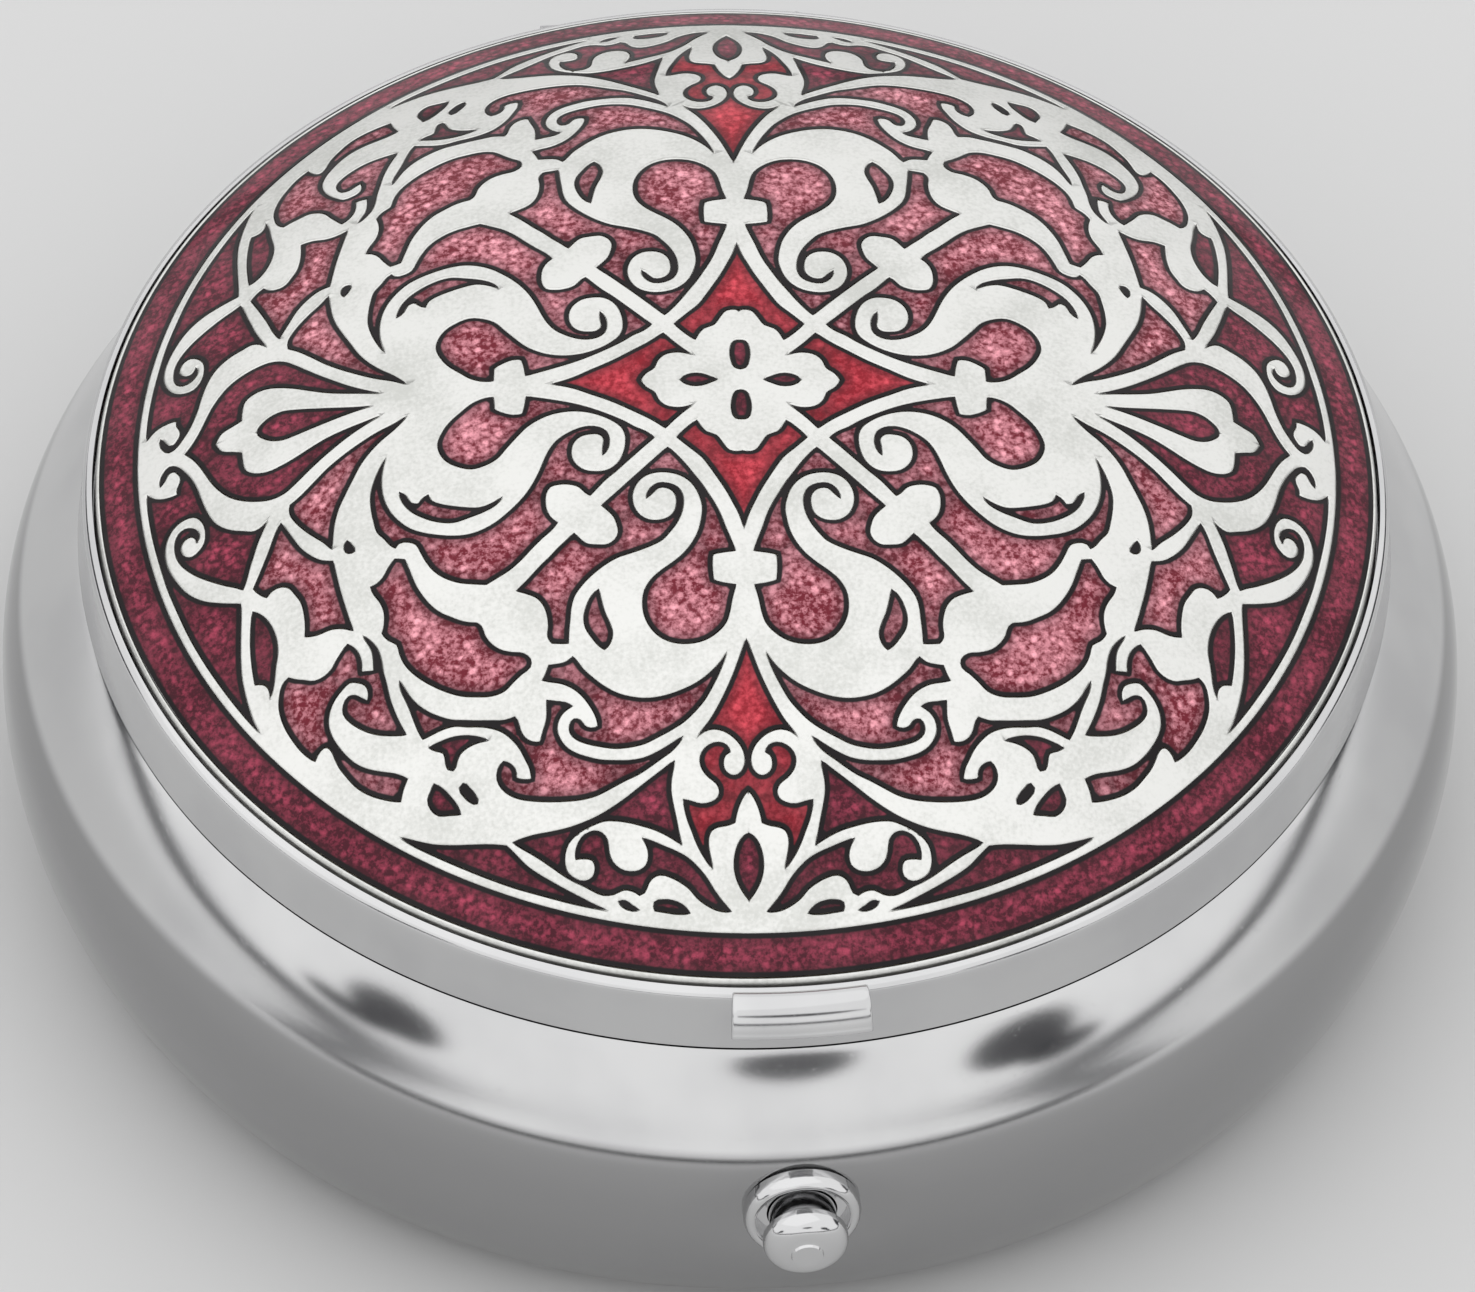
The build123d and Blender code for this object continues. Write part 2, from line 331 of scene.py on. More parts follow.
remade = ("medallion_plate", "enamel_layer", "base_shell", "lid_shell", "thumb_tab", "push_button")
pieces = {}
for slotName, nodes in finishes.items():
    for node in nodes:
        target = frame["nodes"][node].data.materials
        target.clear()
        target.append(materials[slotName])
        if node not in remade:
            pieces[node] = smoothCopy(node, slotName)
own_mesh(pieces["catch_spring"])
print("cad nodes finished:", len(pieces))


# medallion: silver tracery with enamel cells, one quarter drawn and mirrored both ways.
# Outline points are thousandths of the ring radius, side then front; ! is a sharp corner.

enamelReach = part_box("enamel_layer")[1]
ringRadius = enamelReach.x / 0.996  # the enamel ends just inside the ring
medallion = {
    "turn": -4.4,  # degrees, the pattern's turn from the hinge line
    "ringRadius": ringRadius,
    "top": enamelReach.z,
    "rise": 0.00552, "power": 2.5,  # the dome's height and how flat its middle is
    "border": (0.948, 1.006), "rim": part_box("medallion_plate")[1].x / ringRadius,
    "bevel": 0.0042, "lineInset": 0.0075,  # of the ring radius
    "bevelDrop": 0.00008, "enamelDrop": 0.00003, "wall": 0.00025,  # metres
    "step": 0.0085, "gridStep": 0.0165, "jitter": 0.001, "kept": 0.93,
}
tones = {"wine": 0.0, "rose": 1.0, "ruby": 2.0}
cells = {
    "diamondSide": ("ruby",
        "158,0! 150,14 136,26 131,40 121,52 100,58 73,50! 92,67 120,99! 140,82 170,62 200,43 "
        "235,25 265,10 298,0!"),
    "diamondEnd": ("ruby",
        "0,147! 20,146 31,131 41,115 56,108 66,94 70,84! 86,99 102,118! 82,139 62,160 50,180 "
        "38,202 26,225 16,248 7,270 0,298!"),
    "petalSide": ("wine",
        "36,0! 48,6 62,12 78,12 90,6 95,0!"),
    "petalEnd": ("wine",
        "0,22! 8,25 13,38 15,52 14,68 9,80 0,82!"),
    "sideField": ("rose",
        "138,118! 152,105 168,96 184,84 200,74 218,64 238,54 262,44 290,35 318,27 337,22! 339,40 "
        "343,57! 358,58 374,52 388,43! 389,17! 402,18 420,25 440,42 458,60 470,80 476,100 472,120 "
        "462,136 444,149 424,156 404,152 386,142 370,122 354,102 338,84 320,71 300,62 280,58 "
        "258,58 236,63 216,72 200,83 189,94 183,108 182,126 185,144 190,158 198,170 212,180 "
        "232,182 248,178 260,168 268,152 269,136 264,120 252,109 238,106 225,107 217,115 218,132 "
        "219,150! 211,136 209,118 213,103 224,94 240,91 258,95 275,104 290,116 301,132 309,150 "
        "317,172 326,193 338,214 352,232 370,250 390,266 410,276 430,281 455,280 480,274 502,266 "
        "520,256 536,241 550,222 560,200 565,178 566,150 563,128 557,108! 568,130 577,155 582,180 "
        "581,205 577,230 572,250 560,266 553,277 545,285! 540,278 524,278 512,285 505,300 496,320 "
        "482,341 464,356 444,366 424,371 404,375! 388,366 368,354 350,338 334,320 318,303 302,288 "
        "292,275! 300,268 308,254 311,236 310,220 303,206 290,202 272,203 256,210 247,221 "
        "240,227! 228,212 215,197 200,183 184,166 168,149 153,133"),
    "endField": ("rose",
        "117,138! 130,152 145,168 160,184 178,203 196,222 212,238 222,248! 212,258 203,270 "
        "198,285 196,300 202,314 213,322 230,322 248,318 258,308 266,297! 276,308 290,322 304,338 "
        "318,352 332,368 345,382 357,393! 340,400 326,408 315,422 309,440 307,460 308,480 "
        "302,490! 278,493! 277,470 275,450 273,430 268,412 258,396 245,381 230,367 214,355 "
        "198,346 180,340 160,333 144,326 130,318 118,304 107,288 99,270 95,250 96,232 103,218 "
        "117,210 133,209 145,218 152,238! 142,227 133,218 120,218 110,225 105,236 105,252 109,266 "
        "120,277 135,281 150,279 163,270 172,254 175,236 172,218 164,203 153,193 135,187 115,188 "
        "98,194 85,204 75,218 68,236 64,256 66,280 72,305 82,326 95,344 112,360 130,374 147,391 "
        "157,410 160,432 157,455 148,475 134,491 115,501 90,504 66,499 46,486 32,469 26,450 "
        "22,428 15,402! 35,399 50,394! 52,370 51,346! 32,342 15,340! 22,318 30,295 37,272 45,252 "
        "55,232 66,211 78,192 92,170 105,152"),
    "sideSliver": ("rose",
        "376,216! 388,231 404,240 428,248 455,254 480,248 502,236 520,221 532,203 538,181! "
        "527,192 520,206 508,210! 499,199 493,195! 488,208 474,217 455,224 434,230 412,233 "
        "395,228"),
    "endDrop": ("rose",
        "229,402! 240,414 248,432 252,452 249,470 240,486 230,500 221,508! 213,498 209,482 "
        "213,464 220,446 225,426"),
    "endCrescent": ("rose",
        "30,518! 40,536 56,554 76,570 100,582 128,591 155,594 182,590 204,582 224,569 242,553 "
        "256,538 265,524 271,516! 280,524 294,527 308,527! 312,540 318,551! 303,555 288,559 "
        "273,567 260,578 249,592 240,607 234,621 232,634! 244,636 254,631 260,622 270,619 276,628 "
        "275,641 266,651 250,659 230,665 205,670 180,669 160,665 140,656 118,645 99,633 82,617 "
        "67,599 56,580 45,558 36,536"),
    "vee": ("ruby",
        "0,497! 9,525 18,551 29,578 43,607 59,634 72,650 80,661! 68,650 52,646 36,650 20,661 "
        "9,675 4,690 5,704 11,715 21,720 31,717 38,708 39,697 35,687 28,683! 33,673 45,668 60,672 "
        "71,683 74,697 70,710 60,722 49,731 44,742 47,753 58,760 74,762 88,758 101,754! 98,770 "
        "94,785 88,800 80,820 72,835 64,847 56,857! 60,840 63,825 63,812 58,801 48,796 35,794 "
        "22,790! 19,776 13,760 6,748 0,742!"),
    "endSeed": ("wine",
        "0,806! 8,811 16,822 21,838 22,856 18,873 10,888 0,901!"),
    "commaField": ("wine",
        "114,694! 130,706 150,720 170,734 190,748 210,760 232,771 255,779 280,785 305,788 335,790 "
        "366,796! 352,806 335,817 318,829 302,841 286,853 270,863 254,871 240,879 226,885 210,885 "
        "195,880 182,882 170,889! 163,886 157,874 150,866 138,862 122,866 106,874 92,884 80,897 "
        "66,907 48,915 28,917! 40,905 54,888 66,870 80,854 96,840 112,831 130,823 148,815 "
        "166,808! 158,820 155,834 159,848 170,855 185,856 200,851 212,840 218,824 220,808 228,797 "
        "240,793 254,797 264,808 268,820 268,831! 254,831 242,835 238,848 242,859 256,864 270,859 "
        "281,850 286,838 286,822 281,808 270,797 256,789 240,783 225,779 205,780 185,784 165,790 "
        "145,797 125,807 104,821! 109,803 113,783 118,760 121,740 120,722 117,708"),
    "slotOne": ("wine",
        "92,918! 104,906 118,900 134,898 147,901 146,912! 130,915 112,918"),
    "slotTwo": ("wine",
        "170,910! 182,903 192,896 203,896! 196,904 182,910"),
    "endWedge": ("wine",
        "218,908! 240,898 262,886 285,873 308,859 328,846 346,832 360,817 376,800! 400,795 "
        "430,791 460,787 488,781 515,771 542,759! 520,776 490,795 450,818 410,839 365,860 320,877 "
        "270,894 222,907"),
    "archField": ("rose",
        "100,656! 120,669 140,680 160,688 182,691 205,690 230,687 252,680 270,672 284,661 293,647 "
        "297,632 294,617 286,606 272,598! 284,591 298,588 312,584! 311,600 312,616 317,632 "
        "322,650! 336,648 347,640 354,627 358,612 362,605! 378,609 396,607 418,604 440,600 "
        "460,596 478,588 496,577 512,563 525,546 533,531 541,516! 537,535 530,552 523,570 517,588 "
        "511,604 504,618! 490,613 474,608 455,606 436,610 416,613 398,618 380,627 366,640 354,656 "
        "345,674 338,690 336,706! 350,705 361,701! 362,688 370,678 380,673! 388,684 389,700 "
        "382,714 370,725 354,733 335,738 310,742 285,744 260,744 236,740 214,731 192,721 170,712 "
        "150,700 135,690 120,680 108,668"),
    "slotThree": ("wine",
        "421,731 424,718 433,706 443,697 448,703 441,717 430,728"),
    "slotFour": ("wine",
        "447,743! 452,730 463,714 475,700 488,690! 492,700 497,712 492,728 480,739 464,741"),
    "notch": ("wine",
        "402,637! 420,629 440,624 462,624 480,628 496,633! 484,640 472,646 469,660 465,672 "
        "458,675 453,664 448,652 436,643 420,638"),
    "pear": ("rose",
        "531,309! 546,305! 556,320 565,336 574,344 584,347! 578,362 569,377 563,394 562,412 "
        "566,432! 556,446 543,456 539,472 532,490 520,507 505,522 487,536 466,549 444,559 420,564 "
        "396,566 378,561 364,548 350,536 338,527 337,514 348,503 366,499 384,492 398,480 408,464 "
        "413,448 420,441! 440,436 460,425 478,413 492,398 504,380 515,358 523,334"),
    "eye": ("wine",
        "609,277 612,266 620,254! 624,262 624,270 618,278"),
    "sideSeed": ("wine",
        "575,0! 600,3 625,8 650,14 675,20 700,26 720,29 738,24 750,15 757,6 758,0!"),
    "tulip": ("wine",
        "562,22! 590,30 620,38 650,48 675,60 700,73 722,82 744,87 764,83 778,72 783,52 784,33! "
        "800,26 815,19 822,8 825,0! 872,0! 862,12 850,32 840,54 830,76 818,96 802,115 782,129 "
        "760,138 738,142 718,137 700,123 682,106 662,88 640,70 616,52 590,36"),
    "sideWedge": ("rose",
        "523,32! 545,45 570,56 598,72 625,90 650,110 672,132 693,152 708,163! 708,180 700,197 "
        "688,214 672,232 656,248 644,264! 643,240 640,215 634,192 624,168 612,142 599,115 583,92 "
        "565,73 545,56"),
    "kite": ("rose",
        "723,192! 732,212 740,236 750,262 759,284 766,300! 757,312 746,322! 738,313 722,310 "
        "710,316 702,328 692,346 687,368 686,408! 668,410 645,406 628,409 612,417! 618,398 "
        "625,372 632,344 638,314 643,286! 660,281 678,267 694,248 708,222"),
    "sideScroll": ("wine",
        "742,178! 752,190 764,195 782,189 800,181 814,171 826,158 835,142 842,124 848,104 853,84 "
        "859,66 867,48 876,33 886,20 897,15 906,24 911,38 911,50! 904,40 898,29 891,27 884,34 "
        "879,45 880,55 884,65 884,77! 898,78 914,74 925,66 932,56! 929,100 922,150 912,200 "
        "900,250 884,300 866,350 842,404 812,461 780,514 756,549! 766,530 774,506 781,478 786,450 "
        "788,420 788,380 787,345 787,320! 802,315 822,307 842,297 860,283 876,264 888,243 898,220 "
        "904,198 905,176 900,155 889,139 874,131 858,132 848,142 842,156 840,172 842,188 850,200 "
        "862,207 873,203 879,193 880,181 874,171 864,168 857,173 855,183! 851,173 854,162 862,153 "
        "874,150 883,156 888,170 888,186 885,201 878,216 868,230 855,244 840,257 824,269 806,281 "
        "792,289 783,296! 778,280 773,260 767,240 761,220 754,203 748,190"),
    "sideSlot": ("wine",
        "768,340! 770,365 771,395 769,430 764,466! 748,472 742,497! 737,478 734,450 730,420 "
        "733,395 740,374 752,354"),
    "leafField": ("rose",
        "598,428! 590,442 583,456 580,474 580,493! 600,490! 600,474 604,458 612,446 621,438! "
        "629,449 638,462 645,474 656,483 672,487 690,481 703,476 713,470! 722,480 726,496 727,515 "
        "723,535 716,554 706,573 694,592 682,606 672,615! 664,601 655,597 647,604 641,618 634,634 "
        "622,652 608,670 590,685 568,697 540,707! 537,692 529,675! 548,664 568,657 588,649 "
        "606,638 622,622 635,604 646,584 652,562 649,540 640,523 629,511 618,503 604,506 593,513 "
        "588,525 590,540! 600,533 610,526 620,526 627,538 627,552 618,566 604,579 588,590 570,598 "
        "550,603 531,606! 540,588 549,566 556,544 561,520 566,498 569,476 575,456 586,440"),
}


def readOutline(text, unitSize=1.0):
    words = text.split()
    corners = [word.endswith("!") for word in words]
    points = [tuple(float(n) / unitSize for n in word.rstrip("!").split(",")) for word in words]
    return np.array(points), corners


def unit(vector):
    return vector / max(np.linalg.norm(vector), 1e-9)


def smoothPath(points, corners, step, closed):  # through each point, turning sharply at corners only
    count, path = len(points), []

    def heading(i):
        before, after = points[i] - points[i - 1], points[(i + 1) % count] - points[i]
        a, b = np.linalg.norm(before), np.linalg.norm(after)
        return unit(before / a * b + after / b * a)

    for i in range(count if closed else count - 1):
        j = (i + 1) % count
        start, end = points[i], points[j]
        length = np.linalg.norm(end - start)
        chord = (end - start) / length
        if corners[i] and corners[j]:
            leave = arrive = chord
        elif corners[i]:
            arrive = heading(j)
            leave = unit(2 * chord - arrive)
        elif corners[j]:
            leave = heading(i)
            arrive = unit(2 * chord - leave)
        else:
            leave, arrive = heading(i), heading(j)
        parts = max(1, math.ceil(length / step))
        for t in np.arange(parts) / parts:
            s = t * t * (3 - 2 * t)
            bend = (t ** 3 - 2 * t ** 2 + t) * leave + (t ** 3 - t ** 2) * arrive
            path.append((1 - s) * start + s * end + bend * length)
    if not closed:
        path.append(points[-1])
    return np.array(path)


def smoothLoop(points, corners, step):
    loop = smoothPath(points, corners, step, True)
    loop[np.abs(loop) < 1e-6] = 0
    x, y = loop.T
    turns = np.sum(x * np.roll(y, -1) - y * np.roll(x, -1))
    return loop if turns > 0 else loop[::-1]


def inside(loop, spots):
    x, y = spots.T
    found = np.zeros(len(spots), bool)
    for (ax, ay), (bx, by) in zip(loop, np.roll(loop, -1, 0)):
        if ay != by:
            crosses = (ay > y) != (by > y)
            found ^= crosses & (x < (bx - ax) * (y - ay) / (by - ay) + ax)
    return found


def offsetLoop(loop, width):
    ahead, behind = np.roll(loop, -1, 0) - loop, loop - np.roll(loop, 1, 0)
    normals = []
    for a, b in zip(ahead, behind):
        across = unit(unit(a) + unit(b))
        normals.append((across[1], -across[0]))
    return loop + width * np.array(normals)


def nearest(spots, starts, ends, chunk=400):
    result = np.zeros(len(spots))
    along = ends - starts
    lengths = np.maximum((along ** 2).sum(1), 1e-12)
    for first in range(0, len(spots), chunk):
        part = spots[first:first + chunk, None, :] - starts[None]
        t = np.clip((part * along[None]).sum(2) / lengths[None], 0, 1)
        result[first:first + chunk] = np.sqrt(((part - t[..., None] * along[None]) ** 2).sum(2).min(1))
    return result


def arcLoop(radius, step):
    angles = np.linspace(0, math.pi / 2, max(8, math.ceil(radius * math.pi / 2 / step)))
    arc = np.stack([radius * np.cos(angles), radius * np.sin(angles)], 1)
    arc[np.abs(arc) < 1e-9] = 0
    return arc


def drawQuarter():
    m = medallion
    loops = [(tones[tone], smoothLoop(*readOutline(text, 1000), m["step"]))
             for tone, text in cells.values()]
    inner, outer = m["border"]
    arcs = [arcLoop(r, m["step"] * 1.6) for r in
            (inner, inner - m["bevel"], inner + m["lineInset"], outer, outer + m["bevel"],
             outer - m["lineInset"], m["rim"] - m["bevel"], m["rim"])]
    spots, edges = [], []

    def addLine(points, closed):
        base = len(spots)
        spots.extend(map(tuple, points))
        edges.extend((base + i, base + i + 1) for i in range(len(points) - 1))
        if closed:
            edges.append((base + len(points) - 1, base))

    starts, ends = [], []
    for tone, loop in loops:
        addLine(loop, True)
        following = np.roll(loop, -1, 0)
        onAxis = ((loop == 0) & (following == 0)).any(1)
        starts.append(loop[~onAxis])
        ends.append(following[~onAxis])
    for arc in (arcs[0], arcs[3], arcs[7]):
        starts.append(arc[:-1])
        ends.append(arc[1:])
    starts, ends = np.concatenate(starts), np.concatenate(ends)
    for arc in arcs:
        addLine(arc, False)
    for axis in ((1, 0), (0, 1)):
        addLine([(axis[0] * t, axis[1] * t) for t in np.linspace(0, m["rim"], 60)], False)
    extra = []
    for tone, loop in loops:
        for width in (m["bevel"], -m["lineInset"]):
            extra.append((width, offsetLoop(loop, width)))
    for width, loop in extra:  # only the points that kept their distance stay, so tight corners don't fold
        kept = nearest(loop, starts, ends) > abs(width) * m["kept"]
        spots.extend(map(tuple, loop[kept & (loop > 0.002).all(1)]))
    rng = np.random.default_rng(7)
    across = np.arange(m["gridStep"] / 2, m["rim"], m["gridStep"])
    gridX, gridY = np.meshgrid(across, across)
    gridX = gridX + (np.arange(len(across)) % 2)[:, None] * m["gridStep"] / 2
    jitter = rng.uniform(-m["jitter"], m["jitter"], (gridX.size, 2))
    net = np.stack([gridX.ravel(), gridY.ravel()], 1) + jitter
    radii = np.hypot(*net.T)
    clear = nearest(net, starts, ends) > m["lineInset"] * 1.6
    net = net[clear & (radii < m["rim"] - 0.012) & (net > 0.004).all(1)]
    spots.extend(map(tuple, net))
    points, _, faces, *_ = delaunay_2d_cdt([Vector(s) for s in spots], edges, [], 0, 1e-5)
    points = np.array([tuple(p) for p in points])
    faces = np.array([tuple(f) for f in faces])
    middles = points[faces].mean(1)
    radii = np.hypot(*middles.T)
    zone = np.full(len(faces), -1.0)
    for tone, loop in loops:
        zone[inside(loop, middles)] = tone
    zone[(radii > inner) & (radii < outer)] = tones["wine"]
    far = nearest(points, starts, ends)
    keep = radii < m["rim"] - 1e-5
    return points, faces[keep], zone[keep], far


def domeHeight(radius):  # metres, radius in ring radii
    return medallion["top"] - medallion["rise"] * radius ** medallion["power"]


def domeNormal(x, y):
    radius = math.hypot(x, y) / medallion["ringRadius"]
    rise, power = medallion["rise"], medallion["power"]
    slope = rise * power * radius ** (power - 1) / medallion["ringRadius"]
    way = Vector((x, y, 0)).normalized() if radius > 1e-6 else Vector((0, 0, 0))
    return (way * slope + Vector((0, 0, 1))).normalized()


def quarterToDisc(points, faces, zone, far, wanted, heightOf):
    m = medallion
    shaped = bmesh.new()
    edgeLayer = shaped.verts.layers.float.new("edge")
    toneLayer = shaped.faces.layers.float.new("tone")
    chosen = faces[wanted]
    used = np.unique(chosen)
    made = {}
    for i in used:
        x, y = points[i]
        vertex = shaped.verts.new((x, y, 0))
        vertex[edgeLayer] = far[i] * m["ringRadius"] * 1000
        made[i] = vertex
    for triangle, tone in zip(chosen, zone[wanted]):
        a, b, c = (made[i] for i in triangle)
        face = shaped.faces.new((a, b, c))
        face[toneLayer] = max(tone, 0)
        face.smooth = True
    for axis in ("X", "Y"):
        bmesh.ops.mirror(shaped, geom=shaped.verts[:] + shaped.edges[:] + shaped.faces[:],
                         axis=axis, merge_dist=0.00002)
    bmesh.ops.remove_doubles(shaped, verts=shaped.verts[:], dist=0.00002)
    shaped.normal_update()
    bmesh.ops.reverse_faces(shaped, faces=[face for face in shaped.faces if face.normal.z < 0])
    turn = Matrix.Rotation(math.radians(m["turn"]), 4, "Z")
    for vertex in shaped.verts:
        spot = turn @ vertex.co
        height = domeHeight(spot.length) + heightOf(vertex[edgeLayer] / 1000 / m["ringRadius"])
        vertex.co = (spot.x * m["ringRadius"], spot.y * m["ringRadius"], height)
    return shaped


def domeShade(mesh, smoothFrom):  # exact dome normals, except on the bevelled edges
    edges = mesh.attributes["edge"].data
    normals = []
    for vertex, edge in zip(mesh.vertices, edges):
        flat = edge.value / 1000 / medallion["ringRadius"] >= smoothFrom
        normals.append(domeNormal(*vertex.co.xy) if flat else Vector((0, 0, 0)))
    mesh.normals_split_custom_set_from_vertices(normals)


def buildMedallion():
    m = medallion
    points, faces, zone, far = drawQuarter()
    print("medallion quarter:", len(points), "points", len(faces), "triangles")
    silver = quarterToDisc(points, faces, zone, far, zone < 0,
                           lambda d: -m["bevelDrop"] * (1 - min(d / (m["bevel"] * 0.9), 1)))
    rims = [edge for edge in silver.edges if edge.is_boundary]
    walls = bmesh.ops.extrude_edge_only(silver, edges=rims)["geom"]
    bmesh.ops.translate(silver, verts=[g for g in walls if isinstance(g, bmesh.types.BMVert)],
                        vec=(0, 0, -m["wall"]))
    mesh = bpy.data.meshes.new("silverTracery")
    silver.to_mesh(mesh)
    silver.free()
    domeShade(mesh, m["bevel"] * 0.8)
    tracery = keepMesh("silverTracery", mesh, "lid", "silver_plate")
    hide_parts("medallion_plate")
    enamel = quarterToDisc(points, faces, zone, far, zone >= 0, lambda d: -m["enamelDrop"])
    mesh = bpy.data.meshes.new("enamelCells")
    enamel.to_mesh(mesh)
    enamel.free()
    domeShade(mesh, 0)
    glass = keepMesh("enamelCells", mesh, "lid", "red_enamel")
    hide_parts("enamel_layer")
    return tracery, glass


tracery, glass = buildMedallion()
print("medallion done:", len(tracery.data.polygons), "silver and", len(glass.data.polygons), "enamel faces")


# turned and stamped pieces, drawn as sections in millimetres: out from the axis, then along it

sections = {
    "baseCase": {
        "outside": "0,0! 19.3,0! 19.9,.03 21.1,.24 22.3,.66 23.25,1.4 23.95,2.5 24.45,3.7 24.8,5.1 24.97,6.3 "
                   "25,6.95 24.985,7.7 24.92,8.35 24.77,9.0 24.53,9.62 24.2,10.25 23.43,11.66 22.47,13.1!",
        "lip": "22.47,13.1! 22.43,13.15! 22.0,13.15! 21.96,13.1!",
        "inside": "21.96,13.1! 22.9,11.66 23.68,10.25 24.1,9.3 24.38,8.2 24.5,6.95 24.3,5.1 23.9,3.7 "
                  "23.2,2.4 22.2,1.3 20.9,.75 19.4,.5! 0,.5!",
    },
    "lidSide": "21.97,15.0! 21.97,15.86! 22.05,15.85 22.14,15.8 22.21,15.735 22.265,15.65 22.295,15.55 "
               "22.303,15.44 22.34,14.8 22.45,13.27! 22.41,13.2! 21.98,13.2! 21.95,13.26! 21.8,14.3!",
    "lidFloor": (1.21, 1.71),  # how far under the dome the lid's own sheet lies
    "tab": "22.36,14.2! 22.25,15.4! 22.1,15.72! 22.16,15.86! 22.58,15.87 22.7,15.79 23.26,14.86 23.3,14.74 "
           "23.22,14.64!",
    "tabHalf": 5.9,  # degrees
    "button": "0,-26.95! 0.52,-26.95! 0.56,-26.86! 0.64,-26.83! 1.1,-26.7 1.36,-26.48 1.45,-26.2! "
              "1.45,-26.03! 1.39,-25.95! "
              "1.15,-25.95! 1.15,-23.29! 0.85,-23.29! 0.85,-22.93! 1.15,-22.93! 1.15,-22.62! 1.1,-22.6! "
              "0.7,-22.6! 0.7,-19.6! 0.45,-19.6! 0.45,-16.76! 0.4,-16.7! 0,-16.7!",
    "hingeNotch": {"half": 4.7, "y": (20, 26), "baseFrom": 12.15, "lidTo": 14.15},
    "pad": {"y": -24.75, "height": 7.57, "soft": 0.16, "hole": 1.42, "skin": 0.5},
    "turns": {"base": 336, "lid": 384, "tab": 24, "button": 96},
}


def readSection(text, step=0.12):
    return [tuple(p) for p in smoothPath(*readOutline(text), step, False)]


def spinSection(section, steps, along="Z", start=0.0, angle=360.0):  # section in mm, mesh in metres
    shaped = bmesh.new()
    whole = angle == 360.0
    rows = []
    for step in range(steps + (0 if whole else 1)):
        turn = math.radians(start + angle * step / steps)
        across, aside = math.cos(turn) / 1000, math.sin(turn) / 1000
        row = [(r * across, r * aside, h / 1000) if along == "Z" else (r * across, h / 1000, -r * aside)
               for r, h in section]
        rows.append([shaped.verts.new(point) for point in row])
    ends = [] if whole else [rows[0], rows[-1]]
    rows = rows + ([rows[0]] if whole else [])
    for last, row in zip(rows, rows[1:]):
        for i in range(0 if whole else -1, len(section) - 1):
            shaped.faces.new((last[i], last[i + 1], row[i + 1], row[i]))
    for end in ends:
        shaped.faces.new(end)
    bmesh.ops.remove_doubles(shaped, verts=shaped.verts[:], dist=weld)
    bmesh.ops.recalc_face_normals(shaped, faces=shaped.faces[:])
    return shaped


def toMesh(shaped, name):
    for face in shaped.faces:
        face.smooth = True
    mesh = bpy.data.meshes.new(name)
    shaped.to_mesh(mesh)
    shaped.free()
    mesh.set_sharp_from_angle(angle=crease)
    return mesh


def cutAway(mesh, cutter):  # a boolean with the cutter's bmesh, applied
    body = bpy.data.objects.new("body", mesh)
    tool = bpy.data.objects.new("tool", toMesh(cutter, "tool"))
    for each in (body, tool):
        bpy.context.scene.collection.objects.link(each)
    cut = body.modifiers.new("cut", "BOOLEAN")
    cut.operation, cut.solver, cut.object = "DIFFERENCE", "MANIFOLD", tool
    view = bpy.context.evaluated_depsgraph_get()
    result = bpy.data.meshes.new_from_object(body.evaluated_get(view))
    for each in (body, tool):
        bpy.data.objects.remove(each)
    return result


def blockTool(x, y, z):  # a block between two limits each way, in millimetres
    shaped = bmesh.new()
    made = bmesh.ops.create_cube(shaped, size=1.0)
    for vertex in made["verts"]:
        vertex.co = [(low + high) / 2000 + c * (high - low) / 1000
                     for c, (low, high) in zip(vertex.co, (x, y, z))]
    return shaped


def buildBaseCase():
    part, notch, pad = sections["baseCase"], sections["hingeNotch"], sections["pad"]
    outside, lip, inner = (readSection(part[key], 0.28) for key in ("outside", "lip", "inside"))
    shaped = spinSection(outside + lip[1:] + inner[1:], sections["turns"]["base"])
    flat, soft = pad["y"], pad["soft"]
    skin = sorted((z, r) for r, z in outside if z > 0.01)
    heights, radii = zip(*skin)
    for vertex in shaped.verts:  # the pressed flat that the button's eyelet sits on
        x, y, z = vertex.co * 1000
        within = math.hypot(x, y) < np.interp(z, heights, radii) - 0.2
        level = flat + (pad["skin"] if within else 0.0)
        if y < 0 and abs(x) < 5 and 2 < z < 12:
            gap = max(soft - abs(y - level), 0) / soft
            vertex.co.y = (max(y, level) + gap * gap * soft * 0.25) / 1000
    mesh = toMesh(shaped, "baseCase")
    mesh = cutAway(mesh, blockTool((-notch["half"], notch["half"]), notch["y"], (notch["baseFrom"], 16)))
    hole = bmesh.new()
    bmesh.ops.create_cone(hole, cap_ends=True, segments=48, radius1=pad["hole"] / 1000,
                          radius2=pad["hole"] / 1000, depth=0.003)
    bmesh.ops.rotate(hole, verts=hole.verts[:], matrix=Matrix.Rotation(math.pi / 2, 3, "X"))
    bmesh.ops.translate(hole, verts=hole.verts[:], vec=(0, pad["y"] / 1000, pad["height"] / 1000))
    mesh = cutAway(mesh, hole)
    mesh.set_sharp_from_angle(angle=crease)
    piece = keepMesh("baseCase", mesh, "base", "bright_plate")
    # the base case's chrome gets painted shade under its widest line
    mesh.materials[0] = chromePlate("chromeCaseShaded", 0.56)
    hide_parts("base_shell")


